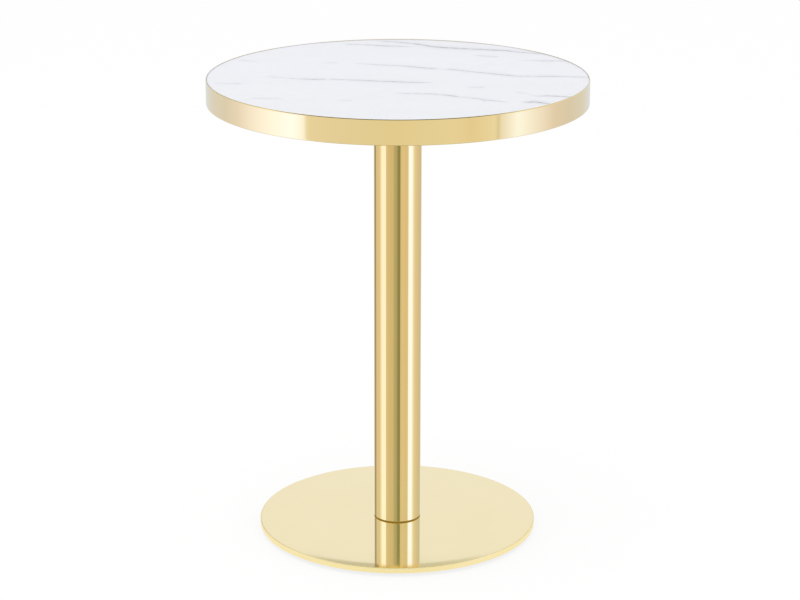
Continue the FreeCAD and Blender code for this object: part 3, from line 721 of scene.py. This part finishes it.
# Mirrors see the floor only close by, and light from below reaches the undersides through it.
far = add(tree, "Math", {0: path.outputs["Ray Length"], 1: MIRROR_REACH}, operation="GREATER_THAN")
near = add(tree, "Math", {0: path.outputs["Ray Length"], 1: SHADE_REACH}, operation="LESS_THAN")
passed = add(tree, "MixRGB", {"Fac": path.outputs["Is Glossy Ray"], "Color1": near.outputs[0],
                              "Color2": far.outputs[0]})
clear = add(tree, "BsdfTransparent", {})
held = add(tree, "MixShader", {0: passed.outputs[0], 1: shown.outputs[0], 2: clear.outputs[0]})
under = add(tree, "NewGeometry", {})
open_below = add(tree, "MixShader", {
    0: under.outputs["Backfacing"], 1: held.outputs[0], 2: clear.outputs[0]})
add(tree, "OutputMaterial", {"Surface": open_below.outputs[0]})
floor.data.materials.append(floor_paint)


def show_to_metal(thing, name):
    """Puts a studio card where only polished metal sees it, and starts its paint."""
    thing.name = name
    for seen_by in ("camera", "diffuse", "transmission", "volume_scatter", "shadow"):
        setattr(thing, "visible_" + seen_by, False)
    paint = bpy.data.materials.new(name)
    paint.use_nodes = True
    paint.cycles.emission_sampling = "NONE"
    paint.node_tree.nodes.clear()
    thing.data.materials.append(paint)
    return paint.node_tree


def seen_within(tree, path, shader, reach):
    """A shader that rays longer than a reach (m) pass through."""
    far = add(tree, "Math", {0: path.outputs["Ray Length"], 1: reach}, operation="GREATER_THAN")
    clear = add(tree, "BsdfTransparent", {})
    return add(tree, "MixShader", {0: far.outputs[0], 1: shader.outputs[0], 2: clear.outputs[0]})


CARD_SIDES = 240
ONE_MIRROR = 1.5  # a glossy depth above this is a second mirror's


def card_ring(name, radius, low, high, cards, direct=None, reach=None):
    """A ring of cards round the column, seen by metal only. Cards are given by their bearing in degrees,
    0 towards the viewer and + to the right, and by their brightness in red, green and blue. Where direct
    is given, the cards show only by way of two mirrors, and one mirror alone sees that brightness all
    round. Where reach is given, metal farther away than that looks through the ring."""
    bpy.ops.object.select_all(action="DESELECT")
    bpy.ops.mesh.primitive_cylinder_add(vertices=CARD_SIDES, radius=radius, depth=high - low,
                                        end_fill_type="NOTHING", location=(0, 0, (low + high) / 2))
    tree = show_to_metal(bpy.context.object, name)
    path = add(tree, "LightPath", {})
    place = add(tree, "TexCoord", {})
    parts = add(tree, "SeparateXYZ", {0: place.outputs["Object"]})
    forward = add(tree, "Math", {0: parts.outputs["Y"], 1: -1}, operation="MULTIPLY")
    bearing = add(tree, "Math", {0: parts.outputs["X"], 1: forward.outputs[0]}, operation="ARCTAN2")
    turned = add(tree, "MapRange", {"Value": bearing.outputs[0], "From Min": -math.pi, "From Max": math.pi})
    ramp = add(tree, "ValToRGB", {"Fac": turned.outputs[0]})
    place_stops(ramp, [((degrees + 180) / 360, level) for degrees, level in cards])
    shown = ramp.outputs["Color"]
    if direct:
        twice = add(tree, "Math", {0: path.outputs["Glossy Depth"], 1: ONE_MIRROR}, operation="GREATER_THAN")
        chosen = add(tree, "MixRGB", {"Fac": twice.outputs[0], "Color1": [*direct, 1], "Color2": shown})
        shown = chosen.outputs[0]
    light = add(tree, "Emission", {"Color": shown, "Strength": 1})
    if reach:
        light = seen_within(tree, path, light, reach)
    add(tree, "OutputMaterial", {"Surface": light.outputs[0]})


# The column shows a bright card on each side, a dark gap in the middle and one at the back left.
COLUMN_CARDS = [
    (-180, (.92, .90, .90)), (-158, (.92, .90, .90)), (-147, (.40, .39, .32)), (-129, (.40, .39, .32)),
    (-126, (.83, .80, .83)), (-100, (.84, .79, .85)), (-92, (.96, .96, 1.1)), (-80, (1.25, 1.36, 2.1)),
    (-60, (1.25, 1.36, 2.1)), (-56, (.80, .78, .82)), (-40, (.77, .72, .66)), (-22, (.74, .69, .65)),
    (-15, (.57, .56, .50)), (-3, (.49, .51, .46)), (0, (.34, .37, .27)), (12, (.29, .31, .20)),
    (14, (.79, .76, .74)), (28, (.85, .81, .80)), (40, (.81, .76, .74)), (52, (.84, .82, .86)),
    (55, (1.3, 1.48, 2.9)), (72, (1.3, 1.48, 3.0)), (83, (.98, 1.08, 1.45)), (92, (.88, .88, 1.0)),
    (110, (.81, .79, .84)), (125, (.74, .74, .80)), (145, (.66, .64, .62)), (158, (.92, .90, .90)),
    (180, (.92, .90, .90))]
# Each tier of the wall ends where the next one begins.
WALL_RADIUS = 2.5
COLUMN_FROM, SOFT_FROM, FOOT_FROM, BACK_FROM, UPPER_FROM, UPPER_TO = -2.7, 0.149, 0.70, 1.184, 1.45, 3.2
card_ring("column_cards", WALL_RADIUS, COLUMN_FROM, SOFT_FROM, COLUMN_CARDS)
# Seen from lower down, the column shows softer ones, which leave the rim of the base bright from above.
SOFTEST = 0.66
card_ring("soft_cards", WALL_RADIUS, SOFT_FROM, FOOT_FROM, [
    (bearing, [max(share, SOFTEST) for share in level]) for bearing, level in COLUMN_CARDS])
# The foot shows the same cards by way of the base, and there they are stronger by what its gold takes.
BASE_LOSS = (1.06, 1.27, 2.2)
card_ring("foot_cards", WALL_RADIUS, FOOT_FROM, BACK_FROM, [
    (bearing, [share * loss for share, loss in zip(level, BASE_LOSS)]) for bearing, level in COLUMN_CARDS],
    direct=(.95, .98, 1.16))
# The walls above are plain, with two broad soft stripes in front.
FRONT_WALL = [
    (-100, (.92, .92, .92)), (-76, (.97, .96, .94)), (-50, (.72, .71, .69)), (-22, (.97, .96, .93)),
    (14, (.97, .96, .93)), (46, (.70, .69, .67)), (74, (.97, .96, .94)), (110, (.92, .92, .92))]
card_ring("back_wall", WALL_RADIUS, BACK_FROM, UPPER_FROM, [
    (-180, (.62, .63, .65)), (-166, (.60, .61, .63)), (-158, (.44, .44, .44)), (-112, (.44, .44, .44)),
    *FRONT_WALL, (160, (.86, .86, .87)), (172, (.74, .74, .76)), (180, (.62, .63, .65))])
card_ring("upper_wall", WALL_RADIUS, UPPER_FROM, UPPER_TO, [
    (-180, (.70, .70, .71)), (-120, (.70, .70, .71)), *FRONT_WALL,
    (150, (.78, .78, .79)), (180, (.70, .70, .71))])
# The band has cards of its own, close by, which the column looks through.
NEAR_RADIUS, NEAR_FROM, NEAR_TO, NEAR_REACH = 0.4, 0.45, 0.745, 0.33
card_ring("band_cards", NEAR_RADIUS, NEAR_FROM, NEAR_TO, [
    (-180, (.95, .97, 1.1)), (-140, (.72, .77, .76)), (-109, (.77, .83, 1.0)), (-82, (.81, .84, 1.2)),
    (-71, (.90, .92, 1.4)), (-62, (1.05, 1.12, 1.85)), (-50, (1.2, 1.33, 2.3)), (-40, (1.25, 1.42, 2.7)),
    (-35.5, (1.15, 1.3, 2.2)), (-33.5, (.91, .90, 1.05)), (-17, (.88, .86, .96)), (0, (.87, .85, .88)),
    (20, (.91, .89, .98)), (27, (.89, .84, .88)), (37.5, (.95, .95, 1.1)), (38, (.80, .79, .90)),
    (38.5, (.82, .82, .98)), (39, (.95, .97, 1.35)), (47, (1.14, 1.33, 2.35)), (59, (1.0, 1.06, 1.7)),
    (68, (.86, .85, 1.25)), (80, (.79, .81, 1.14)), (109, (.77, .83, 1.0)), (140, (.72, .77, .76)),
    (180, (.95, .97, 1.1))], reach=NEAR_REACH)

# A black flag hangs over the front edge, and draws a dark line along the band's rounded lip.
FLAG_PLACE = (0, -0.52, 1.25)
FLAG_SIZE = (1.2, 0.94, 1)
FLAG_REACH = 0.85
bpy.ops.object.select_all(action="DESELECT")
bpy.ops.mesh.primitive_plane_add(size=1, location=FLAG_PLACE)
flag = bpy.context.object
flag.scale = FLAG_SIZE
tree = show_to_metal(flag, "black_flag")
path = add(tree, "LightPath", {})
cloth = add(tree, "BsdfDiffuse", {"Color": linear("202020")})
hung = seen_within(tree, path, cloth, FLAG_REACH)
add(tree, "OutputMaterial", {"Surface": hung.outputs[0]})

# The camera sees plain white all round, and soft light comes from everywhere. Metal sees a pale room with
# a warmer ceiling and a darker pit below.
ROOM, CEILING, PIT = [.85, .85, .86, 1], [1, .99, .96, 1], [.45, .45, .42, 1]
SOFT_LIGHT, WHITE = [.80, .80, .80, 1], [1, 1, 1, 1]
CEILING_EDGE, PIT_EDGE = (0.55, 0.75), (-0.45, -0.6)  # the steepness of a ray where each fades in
world = bpy.data.worlds.new("white_studio")
bpy.context.scene.world = world
world.use_nodes = True
tree = world.node_tree
tree.nodes.clear()
path = add(tree, "LightPath", {})
ray = add(tree, "TexCoord", {})
parts = add(tree, "SeparateXYZ", {0: ray.outputs["Generated"]})
overhead = add(tree, "MapRange", {"Value": parts.outputs["Z"], "From Min": CEILING_EDGE[0],
                                  "From Max": CEILING_EDGE[1]}, interpolation_type="SMOOTHSTEP")
roofed = add(tree, "MixRGB", {"Fac": overhead.outputs[0], "Color1": ROOM, "Color2": CEILING})
below = add(tree, "MapRange", {"Value": parts.outputs["Z"], "From Min": PIT_EDGE[0],
                               "From Max": PIT_EDGE[1]}, interpolation_type="SMOOTHSTEP")
floored = add(tree, "MixRGB", {"Fac": below.outputs[0], "Color1": roofed.outputs[0], "Color2": PIT})
soft = add(tree, "MixRGB", {
    "Fac": path.outputs["Is Glossy Ray"], "Color1": SOFT_LIGHT, "Color2": floored.outputs[0]})
seen = add(tree, "MixRGB", {"Fac": path.outputs["Is Camera Ray"], "Color1": soft.outputs[0], "Color2": WHITE})
sky = add(tree, "Background", {"Color": seen.outputs[0], "Strength": 1})
add(tree, "OutputWorld", {"Surface": sky.outputs[0]})

LAMP_PLACE = (-0.4, -0.5, 3.0)
LAMP_TILT = (math.radians(-9), math.radians(-8), 0)
LAMP_WIDTH, LAMP_POWER = 3, 22
bpy.ops.object.light_add(type="AREA", location=LAMP_PLACE)
lamp = bpy.context.object
lamp.name = "overhead_softbox"
lamp.data.shape = "SQUARE"
lamp.data.size = LAMP_WIDTH
lamp.data.energy = LAMP_POWER
lamp.rotation_euler = LAMP_TILT
lamp.visible_glossy = False

# Camera
# Eye height, nearly four metres back, with a long lens: the table fills the frame as in the photo.
EYE = (0.0039, -3.8237, 1.5674)
LOOKING_DOWN, LOOKING_ASIDE = 0.3001, 0.0018  # radians
FOCAL_PIXELS, IMAGE_PIXELS = 2492.4, 800
SENSOR = 36
bpy.ops.object.camera_add(location=EYE)
camera = bpy.context.object
camera.rotation_mode = "ZYX"
camera.rotation_euler = (QUARTER - LOOKING_DOWN, 0, LOOKING_ASIDE)
camera.data.sensor_fit = "HORIZONTAL"
camera.data.sensor_width = SENSOR
camera.data.lens = FOCAL_PIXELS / IMAGE_PIXELS * SENSOR
camera.data.clip_end = 100
bpy.context.scene.camera = camera
bpy.context.scene.view_settings.view_transform = "Standard"
